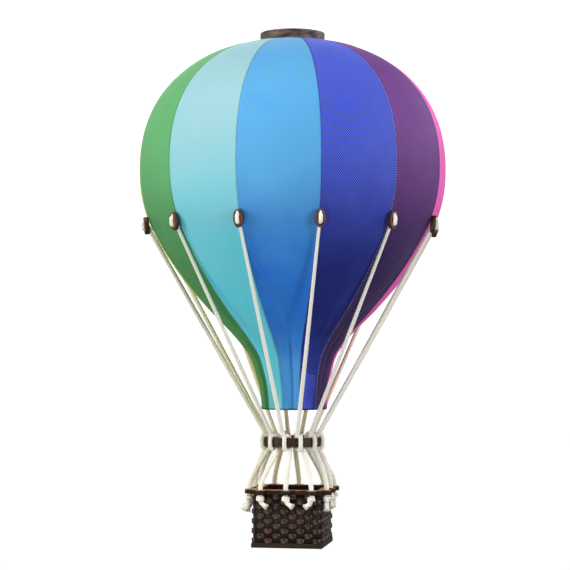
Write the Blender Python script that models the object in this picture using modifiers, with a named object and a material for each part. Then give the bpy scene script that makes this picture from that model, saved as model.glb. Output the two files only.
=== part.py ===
# A small hanging decoration: a fabric hot air balloon with buttoned cords, a ring and a wicker basket.
# Metres, +Z up. The origin is at the thread hole on top of the wooden cap.
# An angle is measured from the basket's front, which faces -Y, towards its right side, +X.

import math

import bmesh
import bpy
from mathutils import Matrix, Vector

MM = 0.001
GAP = 0.3 * MM  # between pieces that touch
TOTAL_HEIGHT = 330 * MM  # cap top to basket underside

# Wooden cap on the crown
CAP_RADIUS = 20.8 * MM
CAP_THICKNESS = 6.0 * MM
CAP_EDGE = 0.9 * MM  # chamfer round the rim
THREAD_HOLE_RADIUS = 1.2 * MM

# Fabric envelope: a rounded crown over a body that narrows to an open mouth
GORES = 12
FIRST_SEAM = -70  # degrees, the left seam of the first gore
EQUATOR_Z = -89.0 * MM
EQUATOR_RADIUS = 98.2 * MM
CROWN_HEIGHT = 83.8 * MM  # equator to the top of the full crown curve
CROWN_FULLNESS = 2.23  # 2 is an ellipse, more is squarer
CROWN_HOLE_RADIUS = 4.0 * MM
WALL = 2.4 * MM  # fabric on its stiff liner
ROWS_IN_CROWN = 9
ROWS_IN_BODY = 13
GORE_COLUMNS = 4

# Body below the equator: drop from the equator, radius
BODY_STATIONS = [
    (0.0 * MM, EQUATOR_RADIUS),
    (27.0 * MM, 94.3 * MM),  # button line
    (58.0 * MM, 78.3 * MM),
    (90.0 * MM, 53.1 * MM),
    (108.0 * MM, 36.3 * MM),  # throat
    (118.0 * MM, 28.8 * MM),
    (130.0 * MM, 24.5 * MM),
    (153.0 * MM, 21.2 * MM),  # mouth
]

# Wooden buttons, one on each seam
BUTTON_WIDTH = 6.4 * MM
BUTTON_LENGTH = 11.2 * MM
BUTTON_THICKNESS = 3.3 * MM
BUTTON_EDGE = 0.6 * MM
BUTTON_Z = -125.0 * MM  # middle of the back face
BUTTON_TILT = math.radians(6.0)  # the lower end leans in
BUTTON_HOLE_RADIUS = 1.35 * MM
BUTTON_HOLE_OFFSET = 2.5 * MM  # each hole from the middle

# Cotton cords
CORD_RADIUS = 1.25 * MM
SQUEEZED = 0.8  # a cord's thickness where it is pulled through a button
KNOT_SIZE = 1.9  # knot radius over cord radius
TAIL_SIZE = 1.6  # frayed end over cord radius
TAIL_LENGTH = 3.6 * MM

# Wooden ring that gathers the cords
RING_TURN = 5  # degrees that each cord turns between its button and the ring
RING_Z = -263.3 * MM
RING_RADIUS = 18.6 * MM
RING_WIDTH = 2.8 * MM
RING_HEIGHT = 6.0 * MM
RING_EDGE = 0.7 * MM
WRAP_STEP = 1.7 * MM  # a cord's way in and out, each side of its turn round the ring

# Basket: plywood rim with ears, woven walls and plywood floor
RIM_Z = -293.0 * MM  # top face
PLY = 3.0 * MM
PLATE_HALF = 22.8 * MM
RIM_OPENING_HALF = 19.3 * MM
HOLE_REACH = 25.0 * MM  # cord holes from the middle, outwards
HOLE_SPACING = 16.5 * MM  # and along each side
HOLE_RADIUS = CORD_RADIUS + GAP
EAR_RADIUS = 3.0 * MM
WALL_OUTER_HALF = 22.3 * MM
WEAVE_THICKNESS = 3.0 * MM
WEAVE_ROWS = 10
STAKE_SPACING = 5.4 * MM
WEAVE_RELIEF = 0.45 * MM  # a weaver stands out this far over a stake and lies back as far behind the next

# Gore name and colour, from the first seam round to the right
GORE_COLOURS = [
    ("green", (0.08, 0.36, 0.11)),
    ("aqua", (0.20, 0.63, 0.70)),
    ("sky", (0.06, 0.33, 0.78)),
    ("royal", (0.04, 0.05, 0.48)),
    ("purple", (0.13, 0.04, 0.22)),
    ("pink", (0.83, 0.11, 0.42)),
    ("crimson", (0.62, 0.02, 0.10)),
    ("red", (0.72, 0.06, 0.03)),
    ("orange", (0.85, 0.20, 0.03)),
    ("amber", (0.88, 0.42, 0.03)),
    ("yellow", (0.88, 0.72, 0.06)),
    ("lime", (0.40, 0.62, 0.06)),
]
DARK_WOOD = (0.035, 0.018, 0.012)
COTTON = (0.80, 0.76, 0.66)


# Scene and materials

def clear_scene():
    for obj in list(bpy.data.objects):
        bpy.data.objects.remove(obj, do_unlink=True)


def material(name, colour, roughness):
    mat = bpy.data.materials.new(name)
    mat.use_nodes = True
    shader = mat.node_tree.nodes["Principled BSDF"]
    shader.inputs["Base Color"].default_value = (*colour, 1.0)
    shader.inputs["Roughness"].default_value = roughness
    shader.inputs["Metallic"].default_value = 0.0
    return mat


def add_object(name, data, collection, mat=None):
    obj = bpy.data.objects.new(name, data)
    collection.objects.link(obj)
    if mat:
        data.materials.append(mat)
    return obj


def around(angle, radius, z):
    """The point at an angle in degrees from the front, towards the right."""
    turn = math.radians(angle)
    return Vector((radius * math.sin(turn), -radius * math.cos(turn), z))


# Envelope

def smooth_radius(drop):
    """The body's radius at a drop below the equator, on one smooth curve through its stations."""
    slopes = [0.0]
    for before, here, after in zip(BODY_STATIONS, BODY_STATIONS[1:], BODY_STATIONS[2:]):
        left = (here[1] - before[1]) / (here[0] - before[0])
        right = (after[1] - here[1]) / (after[0] - here[0])
        share = (here[0] - before[0]) / (after[0] - before[0])
        slopes.append(left * (1 - share) + right * share)
    slopes.append(0.0)
    last = len(BODY_STATIONS) - 2
    i = min(max(k for k in range(last + 1) if BODY_STATIONS[k][0] <= drop + 1e-9), last)
    (d0, r0), (d1, r1) = BODY_STATIONS[i], BODY_STATIONS[i + 1]
    length = d1 - d0
    t = (drop - d0) / length
    return (
        (2 * t**3 - 3 * t**2 + 1) * r0
        + (t**3 - 2 * t**2 + t) * length * slopes[i]
        + (3 * t**2 - 2 * t**3) * r1
        + (t**3 - t**2) * length * slopes[i + 1]
    )


def envelope_radius(z):
    """The outer radius of the fabric at a height."""
    rise = z - EQUATOR_Z
    if rise <= 0:
        return smooth_radius(-rise)
    return EQUATOR_RADIUS * (1 - (rise / CROWN_HEIGHT) ** CROWN_FULLNESS) ** (1 / CROWN_FULLNESS)


def envelope_profile():
    """(radius, z) from the crown hole down to the mouth."""
    top = -CAP_THICKNESS - GAP
    rise = (top - EQUATOR_Z) / CROWN_HEIGHT
    steepest = math.asin(rise ** (CROWN_FULLNESS / 2))
    profile = [(CROWN_HOLE_RADIUS, top)]
    for k in range(ROWS_IN_CROWN + 1):
        turn = steepest * (1 - k / ROWS_IN_CROWN)
        z = EQUATOR_Z + CROWN_HEIGHT * math.sin(turn) ** (2 / CROWN_FULLNESS)
        profile.append((EQUATOR_RADIUS * math.cos(turn) ** (2 / CROWN_FULLNESS), z))
    depth = BODY_STATIONS[-1][0]
    for k in range(1, ROWS_IN_BODY + 1):
        drop = depth * k / ROWS_IN_BODY
        profile.append((smooth_radius(drop), EQUATOR_Z - drop))
    return profile


def gore_mesh(name):
    """One open panel between two seams, its middle at the front; a modifier gives it its wall."""
    profile = envelope_profile()
    bm = bmesh.new()
    bmesh.ops.create_grid(bm, x_segments=GORE_COLUMNS, y_segments=len(profile) - 1, size=1.0)
    half_turn = math.pi / GORES
    lean = WALL * math.sin(half_turn / GORE_COLUMNS)  # an edge facet's wall leans out this far inside
    for vertex in bm.verts:
        row = round((1 - vertex.co.y) / 2 * (len(profile) - 1))
        radius, z = profile[row]
        angle = vertex.co.x * (half_turn - math.asin((GAP / 2 + lean) / radius))
        vertex.co = around(math.degrees(angle), radius, z)
    mesh = bpy.data.meshes.new(name)
    bm.to_mesh(mesh)
    bm.free()
    mesh.shade_smooth()
    return mesh


def make_gores(collection):
    for index, (name, colour) in enumerate(GORE_COLOURS):
        full_name = f"gore_{name}"
        gore = add_object(full_name, gore_mesh(full_name), collection, material(full_name, colour, 0.85))
        gore.rotation_euler.z = math.radians(FIRST_SEAM + (index + 0.5) * 360 / GORES)
        wall = gore.modifiers.new("wall", "SOLIDIFY")
        wall.thickness = WALL
        wall.offset = -1
        wall.use_even_offset = True


# Turned wooden pieces

def turned(name, outline, steps, collection, mat):
    """A closed outline of (radius, z) turned about the Z axis."""
    mesh = bpy.data.meshes.new(name)
    count = len(outline)
    mesh.from_pydata([(r, 0, z) for r, z in outline], [(i, (i + 1) % count) for i in range(count)], [])
    obj = add_object(name, mesh, collection, mat)
    turn = obj.modifiers.new("turn", "SCREW")
    turn.angle = math.tau
    turn.steps = turn.render_steps = steps
    turn.use_merge_vertices = True
    turn.merge_threshold = 0.00001
    turn.use_smooth_shade = False
    return obj


def bevelled_section(inner, outer, low, high, edge):
    """A turned piece's section, down its outer side and up its inner side."""
    return [
        (outer - edge, high),
        (outer, high - edge),
        (outer, low + edge),
        (outer - edge, low),
        (inner, low),
        (inner, high),
    ]


def make_cap(collection, mat):
    section = bevelled_section(THREAD_HOLE_RADIUS, CAP_RADIUS, -CAP_THICKNESS, 0, CAP_EDGE)
    turned("cap", section, 40, collection, mat)


def make_ring(collection, mat):
    inner = RING_RADIUS - RING_WIDTH
    half = RING_HEIGHT / 2
    section = bevelled_section(inner, RING_RADIUS, -half, half, RING_EDGE)
    turned("ring", section, 40, collection, mat).location.z = RING_Z


# Buttons

def button_mesh(collection, cutters):
    """An oval button with two holes, its back face at y = 0 and its front towards -Y."""
    bm = bmesh.new()
    bmesh.ops.create_cone(bm, cap_ends=True, segments=20, radius1=1, radius2=1, depth=1)
    bmesh.ops.scale(bm, vec=(BUTTON_WIDTH / 2, BUTTON_LENGTH / 2, BUTTON_THICKNESS), verts=bm.verts)
    lift = Matrix.Translation((0, 0, BUTTON_THICKNESS / 2))
    stand = Matrix.Rotation(math.pi / 2, 4, "X") @ lift
    bmesh.ops.transform(bm, matrix=stand, verts=bm.verts)
    mesh = bpy.data.meshes.new("button_blank")
    bm.to_mesh(mesh)
    bm.free()
    blank = add_object("button_blank", mesh, collection)
    edge = blank.modifiers.new("edge", "BEVEL")
    edge.width = BUTTON_EDGE
    edge.segments = 1
    drills = []
    for side in (-1, 1):
        bm = bmesh.new()
        bmesh.ops.create_cone(
            bm, cap_ends=True, segments=10, radius1=BUTTON_HOLE_RADIUS, radius2=BUTTON_HOLE_RADIUS,
            depth=4 * BUTTON_THICKNESS,
        )
        bmesh.ops.transform(bm, matrix=Matrix.Rotation(math.pi / 2, 4, "X"), verts=bm.verts)
        drill_mesh = bpy.data.meshes.new("button_drill")
        bm.to_mesh(drill_mesh)
        bm.free()
        drill = add_object("button_drill", drill_mesh, cutters)
        drill.location.z = side * BUTTON_HOLE_OFFSET
        drill.hide_render = True
        drill.display_type = "WIRE"
        drills.append(drill)
        cut = blank.modifiers.new("hole", "BOOLEAN")
        cut.operation = "DIFFERENCE"
        cut.object = drill
    bpy.context.view_layer.update()
    graph = bpy.context.evaluated_depsgraph_get()
    finished = bpy.data.meshes.new_from_object(blank.evaluated_get(graph))
    finished.name = "button"
    for used in [blank, *drills]:
        bpy.data.objects.remove(used, do_unlink=True)
    return finished


def button_frame():
    """The middle of a button's back face, its outward direction and its downward one, as (radius, z)."""
    half = BUTTON_LENGTH / 2
    outward = Vector((math.cos(BUTTON_TILT), -math.sin(BUTTON_TILT)))
    downward = Vector((-math.sin(BUTTON_TILT), -math.cos(BUTTON_TILT)))
    touching = envelope_radius(BUTTON_Z + half) + GAP
    middle = Vector((touching, BUTTON_Z)) + downward * half
    middle.y = BUTTON_Z
    return middle, outward, downward


def make_buttons(collection, cutters, mat):
    mesh = button_mesh(collection, cutters)
    mesh.materials.append(mat)
    middle, _, _ = button_frame()
    for index in range(GORES):
        angle = FIRST_SEAM + index * 360 / GORES
        button = add_object(f"button_{index + 1:02d}", mesh, collection)
        button.location = around(angle, middle.x, middle.y)
        button.rotation_euler = (BUTTON_TILT, 0, math.radians(angle))


# Cords

def through_button():
    """(radius, z, thickness) of a cord through a button's two holes and out behind its lower half."""
    middle, outward, downward = button_frame()
    front_bend = CORD_RADIUS + GAP
    back_bend = CORD_RADIUS * SQUEEZED + GAP
    near_edge = BUTTON_HOLE_OFFSET - BUTTON_HOLE_RADIUS
    far_edge = BUTTON_HOLE_OFFSET + BUTTON_HOLE_RADIUS
    half_way = math.sqrt(0.5)
    loop = [  # out from the button's back, down from its middle, thickness
        (BUTTON_THICKNESS, near_edge + front_bend, SQUEEZED),
        (BUTTON_THICKNESS + half_way * front_bend, near_edge + half_way * front_bend, 0.9),
        (BUTTON_THICKNESS + front_bend, near_edge, 1.0),
    ]
    steps = [(GAP, -BUTTON_HOLE_OFFSET, SQUEEZED)]
    steps += [(out, -down, size) for out, down, size in loop]
    steps += reversed(loop)
    steps += [
        (0, far_edge - back_bend, SQUEEZED),
        (-half_way * back_bend, far_edge - half_way * back_bend, SQUEEZED),
        (-back_bend, far_edge, SQUEEZED),
    ]
    points = []
    for out, down, size in steps:
        place = middle + outward * out + downward * down
        points.append((place.x, place.y, size))
    return points


def past_button():
    """(radius, z, thickness) where a cord leaves the back of its button, from there taut to the ring."""
    middle, outward, downward = button_frame()
    place = middle - outward * (CORD_RADIUS + GAP) + downward * (BUTTON_LENGTH / 2 + 1.0 * MM)
    return [(place.x, place.y, 1.0)]


def round_ring():
    """(radius, z, sideways) of one turn round the ring: in behind it, up its front and out behind it."""
    off = CORD_RADIUS + GAP
    inner = RING_RADIUS - RING_WIDTH - off
    outer = RING_RADIUS + off
    high = RING_HEIGHT / 2 + off
    cut = 0.9 * MM  # how far a corner of the turn is rounded
    side = WRAP_STEP
    return [
        (inner + 3.95 * MM, RING_Z + high + 1.65 * MM, -side),
        (inner + 0.2 * MM, RING_Z + high - 0.65 * MM, -side),
        (inner, RING_Z, -side),
        (inner, RING_Z - high + cut, -0.9 * side),
        (inner + cut, RING_Z - high, -0.7 * side),
        (outer - cut, RING_Z - high, 0),
        (outer, RING_Z - high + cut, 0),
        (outer, RING_Z + high - cut, 0),
        (outer - cut, RING_Z + high, 0),
        (inner + cut, RING_Z + high, 0.7 * side),
        (inner, RING_Z + high - cut, side),
        (inner, RING_Z - high + cut, 1.15 * side),
        (inner + 0.4 * MM, RING_Z - high + 0.45 * MM, 1.3 * side),
        (inner + 2.1 * MM, RING_Z - high - 0.9 * MM, 1.6 * side),
    ]


def rim_holes():
    """The twelve cord holes' places, three on each side, in the same order as the cords."""
    places = []
    for index in range(GORES):
        angle = FIRST_SEAM + RING_TURN + index * 360 / GORES
        side = round(angle / 90)
        along = round((angle - 90 * side) / 30) * HOLE_SPACING
        turn = Matrix.Rotation(math.radians(90 * side), 3, "Z")
        places.append(turn @ Vector((along, -HOLE_REACH, 0)))
    return places


def down_to_basket(start, hole):
    """(point, thickness) from the ring to the hole in the rim, the knot under it and the frayed tail."""
    end = Vector((hole.x, hole.y, RIM_Z))
    outward = Vector((start.x, start.y, 0)).normalized()
    leaving = (outward * 0.75 + Vector((0, 0, -1))) * 22 * MM
    arriving = Vector((0, 0, -1)) * 18 * MM
    points = []
    for t in (0.18, 0.4, 0.62, 0.84):
        points.append((
            (2 * t**3 - 3 * t**2 + 1) * start + (t**3 - 2 * t**2 + t) * leaving
            + (3 * t**2 - 2 * t**3) * end + (t**3 - t**2) * arriving,
            1.0,
        ))
    under = RIM_Z - PLY - GAP
    knot = KNOT_SIZE * CORD_RADIUS
    drops = [  # height, thickness
        (RIM_Z + 0.5 * MM, 1.0),
        (under, 1.0),
        (under - 0.5 * knot, KNOT_SIZE),
        (under - 1.5 * knot, KNOT_SIZE),
        (under - 2.2 * knot, 0.9),
        (under - 2.2 * knot - TAIL_LENGTH, TAIL_SIZE),
    ]
    return points + [(Vector((hole.x, hole.y, z)), size) for z, size in drops]


def cord_route(index, hole):
    """A cord's points and thickness, from its button to its frayed end."""
    seam = FIRST_SEAM + index * 360 / GORES
    wrap = seam + RING_TURN
    sideways = around(wrap + 90, 1, 0)
    turn = [around(wrap, r, z) + sideways * side for r, z, side in round_ring()]
    upper = through_button() + past_button()
    route = [(around(seam, r, z), size) for r, z, size in upper]
    route += [(point, 1.0) for point in turn]
    return route + down_to_basket(turn[-1], hole)


def make_cords(collection, mat):
    for index, hole in enumerate(rim_holes()):
        name = f"cord_{index + 1:02d}"
        route = cord_route(index, hole)
        curve = bpy.data.curves.new(name, "CURVE")
        curve.dimensions = "3D"
        curve.bevel_depth = CORD_RADIUS
        curve.bevel_resolution = 1
        curve.use_fill_caps = True
        spline = curve.splines.new("POLY")
        spline.points.add(len(route) - 1)
        for point, (place, size) in zip(spline.points, route):
            point.co = (*place, 1)
            point.radius = size
        add_object(name, curve, collection, mat)


# Basket

def flat_plate(name, outlines, thickness, collection, mat):
    """A plate cut along closed outlines, centred on its own height."""
    curve = bpy.data.curves.new(name, "CURVE")
    curve.dimensions = "2D"
    curve.fill_mode = "BOTH"
    curve.extrude = thickness / 2
    for outline in outlines:
        spline = curve.splines.new("POLY")
        spline.points.add(len(outline) - 1)
        spline.use_cyclic_u = True
        for point, (x, y) in zip(spline.points, outline):
            point.co = (x, y, 0, 1)
    return add_object(name, curve, collection, mat)


def circle(centre, radius, count):
    turns = [math.tau * k / count for k in range(count)]
    return [(centre[0] + radius * math.cos(t), centre[1] + radius * math.sin(t)) for t in turns]


def eared_outline():
    """A square with three rounded ears on each side, anticlockwise."""
    outline = []
    for side in range(4):
        turn = Matrix.Rotation(math.radians(90 * side), 2)
        points = [(-PLATE_HALF, -PLATE_HALF)]
        for along in (-HOLE_SPACING, 0, HOLE_SPACING):
            points.append((along - EAR_RADIUS, -PLATE_HALF))
            for k in range(7):
                t = math.pi * (1 + k / 6)
                points.append((along + EAR_RADIUS * math.cos(t), -HOLE_REACH + EAR_RADIUS * math.sin(t)))
            points.append((along + EAR_RADIUS, -PLATE_HALF))
        outline += [tuple(turn @ Vector(p)) for p in points]
    return outline


def make_rim(collection, mat):
    half = RIM_OPENING_HALF
    opening = [(-half, -half), (half, -half), (half, half), (-half, half)]
    holes = [circle(hole, HOLE_RADIUS, 10) for hole in rim_holes()]
    rim = flat_plate("rim_plate", [eared_outline(), opening, *holes], PLY, collection, mat)
    rim.location.z = RIM_Z - PLY / 2


def box(name, size, centre, collection, mat):
    bm = bmesh.new()
    bmesh.ops.create_cube(bm, size=1)
    bmesh.ops.scale(bm, vec=size, verts=bm.verts)
    mesh = bpy.data.meshes.new(name)
    bm.to_mesh(mesh)
    bm.free()
    obj = add_object(name, mesh, collection, mat)
    obj.location = centre
    return obj


def woven_wall(name, length, height, collection, mat):
    """A wall whose outer face, towards -Y, carries the over and under of its weavers."""
    cells = round(length / STAKE_SPACING)
    columns = [(c + share) / cells for c in range(cells) for share in (0, 0.25, 0.75)] + [1.0]
    rows = [r / (2 * WEAVE_ROWS) for r in range(2 * WEAVE_ROWS + 1)]
    points = []
    for r, up in enumerate(rows):
        for c, along in enumerate(columns):
            over = 1 if (c // 3 + r // 2) % 2 == 0 else -1
            relief = -1 if r % 2 == 0 else over * (c % 3 > 0)  # grooves lie between the rows
            depth = -WEAVE_THICKNESS / 2 - relief * WEAVE_RELIEF
            points.append(((along - 0.5) * length, depth, (up - 0.5) * height))
    across = len(columns)
    faces = []
    for r in range(len(rows) - 1):
        for c in range(across - 1):
            a = r * across + c
            faces.append((a, a + 1, a + across + 1, a + across))
    back = len(points)
    for x, z in ((-0.5, -0.5), (0.5, -0.5), (0.5, 0.5), (-0.5, 0.5)):
        points.append((x * length, WEAVE_THICKNESS / 2, z * height))
    top = (len(rows) - 1) * across
    faces += [
        (back, back + 3, back + 2, back + 1),
        (*range(across), back + 1, back)[::-1],
        (*range(top, top + across), back + 2, back + 3),
        (*range(0, top + 1, across), back + 3, back),
        (*range(across - 1, top + across, across), back + 2, back + 1)[::-1],
    ]
    mesh = bpy.data.meshes.new(name)
    mesh.from_pydata(points, [], faces)
    bm = bmesh.new()
    bm.from_mesh(mesh)
    bmesh.ops.recalc_face_normals(bm, faces=bm.faces)
    bm.to_mesh(mesh)
    bm.free()
    return add_object(name, mesh, collection, mat)


def make_basket_walls(collection, mat):
    top = RIM_Z - PLY - GAP
    bottom = -TOTAL_HEIGHT + PLY + GAP
    middle = WALL_OUTER_HALF - WEAVE_THICKNESS / 2
    long = 2 * WALL_OUTER_HALF
    short = 2 * (WALL_OUTER_HALF - WEAVE_THICKNESS - GAP)
    height = top - bottom
    for angle, name, length in ((0, "front", long), (90, "right", short), (180, "back", long), (270, "left", short)):
        wall = woven_wall(f"basket_{name}", length, height, collection, mat)
        wall.location = around(angle, middle, (top + bottom) / 2)
        wall.rotation_euler.z = math.radians(angle)


def make_floor(collection, mat):
    size = (2 * PLATE_HALF, 2 * PLATE_HALF, PLY)
    box("basket_floor", size, (0, 0, -TOTAL_HEIGHT + PLY / 2), collection, mat)


def main():
    clear_scene()
    balloon = bpy.data.collections.new("hot_air_balloon")
    cutters = bpy.data.collections.new("cutters")
    for collection in (balloon, cutters):
        bpy.context.scene.collection.children.link(collection)
    cotton = material("cotton_cord", COTTON, 0.9)
    make_gores(balloon)
    make_cap(balloon, material("cap_wood", DARK_WOOD, 0.5))
    make_buttons(balloon, cutters, material("button_wood", (0.16, 0.06, 0.03), 0.5))
    make_ring(balloon, material("ring_wood", DARK_WOOD, 0.5))
    make_cords(balloon, cotton)
    make_rim(balloon, material("rim_wood", DARK_WOOD, 0.6))
    make_basket_walls(balloon, material("wicker", (0.05, 0.028, 0.018), 0.6))
    make_floor(balloon, material("floor_wood", DARK_WOOD, 0.6))


main()
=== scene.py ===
import math

import bmesh
import bpy
from mathutils import Matrix, Vector, noise


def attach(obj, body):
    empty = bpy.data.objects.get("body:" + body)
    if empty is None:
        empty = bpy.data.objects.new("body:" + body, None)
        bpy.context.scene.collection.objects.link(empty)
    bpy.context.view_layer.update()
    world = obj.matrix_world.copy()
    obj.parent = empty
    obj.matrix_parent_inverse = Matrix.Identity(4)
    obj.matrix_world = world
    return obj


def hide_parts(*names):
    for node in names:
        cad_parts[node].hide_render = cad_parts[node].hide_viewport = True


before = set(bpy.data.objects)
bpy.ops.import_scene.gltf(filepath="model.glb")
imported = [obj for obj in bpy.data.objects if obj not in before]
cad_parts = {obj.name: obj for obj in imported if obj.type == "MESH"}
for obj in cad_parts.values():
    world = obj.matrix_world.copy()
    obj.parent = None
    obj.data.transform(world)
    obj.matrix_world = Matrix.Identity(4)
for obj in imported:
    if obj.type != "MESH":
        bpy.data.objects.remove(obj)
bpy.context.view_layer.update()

mm = 0.001
body = "root"

# Sizes that several pieces share, in metres: the same values as the solids have
balloon = {
    "gores": 12,
    "firstSeam": -70.0,  # degrees from the basket's front, towards its right side
    "equatorZ": -89.0 * mm,
    "equatorRadius": 98.2 * mm,
    "crownHeight": 83.8 * mm,
    "crownFullness": 2.23,
    "crownHole": 4.0 * mm,
    "capThickness": 6.0 * mm,
    "cordRadius": 1.25 * mm,
    "gap": 0.3 * mm,
    "ringZ": -263.3 * mm,
    "ringRadius": 18.6 * mm,
    "ringWidth": 2.8 * mm,
    "ringHeight": 6.0 * mm,
    "rimZ": -293.0 * mm,
    "ply": 3.0 * mm,
    "floorZ": -330.0 * mm,
}

# The body below the equator, in millimetres: drop from the equator and radius, down to the mouth
stationSizes = [
    (0, 98.2), (27, 94.3), (58, 78.3), (90, 53.1), (108, 36.3), (118, 28.8), (130, 24.5), (153, 21.2),
]
bodyStations = [(drop * mm, radius * mm) for drop, radius in stationSizes]


# Small helpers

def around(angle, radius, z):  # a point at an angle in degrees from the front
    turn = math.radians(angle)
    return Vector((radius * math.sin(turn), -radius * math.cos(turn), z))


def seamAngle(index):
    return balloon["firstSeam"] + index * 360 / balloon["gores"]


def shareOf(low, high, value):  # how far the value is from low to high, from 0 to 1
    return min(max((value - low) / (high - low), 0.0), 1.0)


def smoothStep(low, high, value):
    share = shareOf(low, high, value)
    return share * share * (3 - 2 * share)


def hermite(t, start, leaving, end, arriving):
    return (
        (2 * t**3 - 3 * t**2 + 1) * start + (t**3 - 2 * t**2 + t) * leaving
        + (3 * t**2 - 2 * t**3) * end + (t**3 - t**2) * arriving
    )


def lengthOf(points):
    return sum((b - a).length for a, b in zip(points, points[1:]))


def squareOf(half):
    return [(-half, -half), (half, -half), (half, half), (-half, half)]


def meshFrom(name, points, faces=(), edges=()):
    mesh = bpy.data.meshes.new(name)
    mesh.from_pydata(points, edges, faces)
    mesh.update()
    return mesh


def lineMesh(name, points):
    return meshFrom(name, points, edges=[(i, i + 1) for i in range(len(points) - 1)])


def loft(name, rings, closed=False):
    # Equal rings of points joined by faces: on round to the first ring, or shut with a face at each end
    rows, count = len(rings), len(rings[0])
    faces = []
    for row in range(rows if closed else rows - 1):
        here, there = row * count, (row + 1) % rows * count
        for k in range(count):
            after = (k + 1) % count
            faces.append((here + k, here + after, there + after, there + k))
    if not closed:
        faces += [tuple(range(count)), tuple(range((rows - 1) * count, rows * count))]
    return meshFrom(name, [point for ring in rings for point in ring], faces)


def outwardNormals(mesh):
    bm = bmesh.new()
    bm.from_mesh(mesh)
    bmesh.ops.remove_doubles(bm, verts=bm.verts, dist=0.001 * mm)
    bmesh.ops.recalc_face_normals(bm, faces=bm.faces)
    bm.to_mesh(mesh)
    bm.free()


def smoothShade(mesh, sharpFrom):  # smooth, but for edges sharper than an angle in degrees
    mesh.shade_smooth()
    mesh.set_sharp_from_angle(angle=math.radians(sharpFrom))


def store(mesh, name, values, kind="FLOAT"):
    field = {"FLOAT": "value", "FLOAT_VECTOR": "vector", "FLOAT_COLOR": "color"}[kind]
    mesh.attributes.new(name, kind, "POINT").data.foreach_set(field, values)


def tint(mesh, name, colour):
    store(mesh, name, [*colour, 1.0] * len(mesh.vertices), "FLOAT_COLOR")


def newObject(data, *materials):
    obj = bpy.data.objects.new(data.name, data)
    bpy.context.scene.collection.objects.link(obj)
    for material in materials:
        data.materials.append(material)
    return obj


def evaluated(obj):  # the object's mesh with its modifiers applied
    bpy.context.view_layer.update()
    graph = bpy.context.evaluated_depsgraph_get()
    return bpy.data.meshes.new_from_object(obj.evaluated_get(graph))


def finishPiece(obj, slotName, *nodes):
    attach(obj, body)
    if nodes:
        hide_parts(*nodes)


# Nodes

class Output:
    # An output of a node: [] gives another one of that node, and arithmetic adds Math nodes
    def __init__(self, node, key=0):
        self.node, self.key, self.tree = node, key, node.id_data

    def __getitem__(self, key):
        return Output(self.node, key)

    def math(self, operation, *others):
        return calculate(self.tree, operation, self, *others)

    def __add__(self, other):
        return self.math("ADD", other)

    def __sub__(self, other):
        return self.math("SUBTRACT", other)

    def __rsub__(self, other):
        return calculate(self.tree, "SUBTRACT", other, self)

    def __mul__(self, other):
        return self.math("MULTIPLY", other)

    def __truediv__(self, other):
        return self.math("DIVIDE", other)


def feed(node, inputs):  # each input takes a value, an output, or a list of outputs
    for key, given in inputs.items():
        for value in given if isinstance(given, list) else [given]:
            if isinstance(value, Output):
                value.tree.links.new(value.node.outputs[value.key], node.inputs[key])
            else:
                node.inputs[key].default_value = value


def add(tree, kind, inputs=None, **settings):
    # Adds a node, its kind given without the family's name before it
    families = ("GeometryNode", "ShaderNode", "FunctionNode", "Node")
    node = tree.nodes.new(next(f + kind for f in families if hasattr(bpy.types, f + kind)))
    for key, value in settings.items():
        setattr(node, key, value)
    feed(node, inputs or {})
    return Output(node)


def calculate(tree, operation, *values):
    return add(tree, "Math", dict(enumerate(values)), operation=operation)


def treeOf(*values):
    return next(value.tree for value in values if isinstance(value, Output))


def vectorMath(operation, first, second):
    return add(treeOf(first, second), "VectorMath", {0: first, 1: second}, operation=operation)


def scaled(vector, amount):
    return add(treeOf(vector, amount), "VectorMath", {0: vector, "Scale": amount}, operation="SCALE")


def combine(x, y, z):
    return add(treeOf(x, y, z), "CombineXYZ", {0: x, 1: y, 2: z})


def split(vector):
    node = add(vector.tree, "SeparateXYZ", {0: vector})
    return node[0], node[1], node[2]


# Geometry Nodes: a tree with named inputs, grown into a plain mesh

def newTree(name, sizes):
    tree = bpy.data.node_groups.new(name, "GeometryNodeTree")
    tree.interface.new_socket("Geometry", in_out="INPUT", socket_type="NodeSocketGeometry")
    kinds = {int: "NodeSocketInt", float: "NodeSocketFloat", bpy.types.Material: "NodeSocketMaterial"}
    for label, value in sizes.items():
        socket = tree.interface.new_socket(label, in_out="INPUT", socket_type=kinds[type(value)])
        socket.default_value = value
    tree.interface.new_socket("Geometry", in_out="OUTPUT", socket_type="NodeSocketGeometry")
    return tree, add(tree, "GroupInput")


def endTree(geometry, material):
    tree = geometry.tree
    real = add(tree, "RealizeInstances", {"Geometry": geometry})
    painted = add(tree, "SetMaterial", {"Geometry": real, "Material": material})
    add(tree, "GroupOutput", {"Geometry": painted})
    return tree


def grow(mesh, tree, sizes):
    obj = newObject(mesh)
    modifier = obj.modifiers.new(tree.name, "NODES")
    modifier.node_group = tree
    for item in tree.interface.items_tree:
        if item.in_out == "INPUT" and item.name in sizes:
            modifier[item.identifier] = sizes[item.name]
    grown = evaluated(obj)
    obj.modifiers.remove(modifier)
    grown.name = obj.name
    obj.data = grown
    grown.shade_smooth()
    return obj


def instances(points, instance, **more):
    inputs = {"Points": points, "Instance": instance, **more}
    return add(points.tree, "InstanceOnPoints", inputs)


def attribute(tree, name, kind="FLOAT"):
    return add(tree, "InputNamedAttribute", {"Name": name}, data_type=kind)["Attribute"]


def stored(geometry, name, value, kind="FLOAT"):
    inputs = {"Geometry": geometry, "Name": name, "Value": value}
    return add(geometry.tree, "StoreNamedAttribute", inputs, data_type=kind, domain="POINT")


def captured(geometry, name, value, kind):
    kept = add(geometry.tree, "CaptureAttribute", {"Geometry": geometry})
    kept.node.capture_items.new(kind, name)
    feed(kept.node, {name: value})
    return kept


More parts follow.
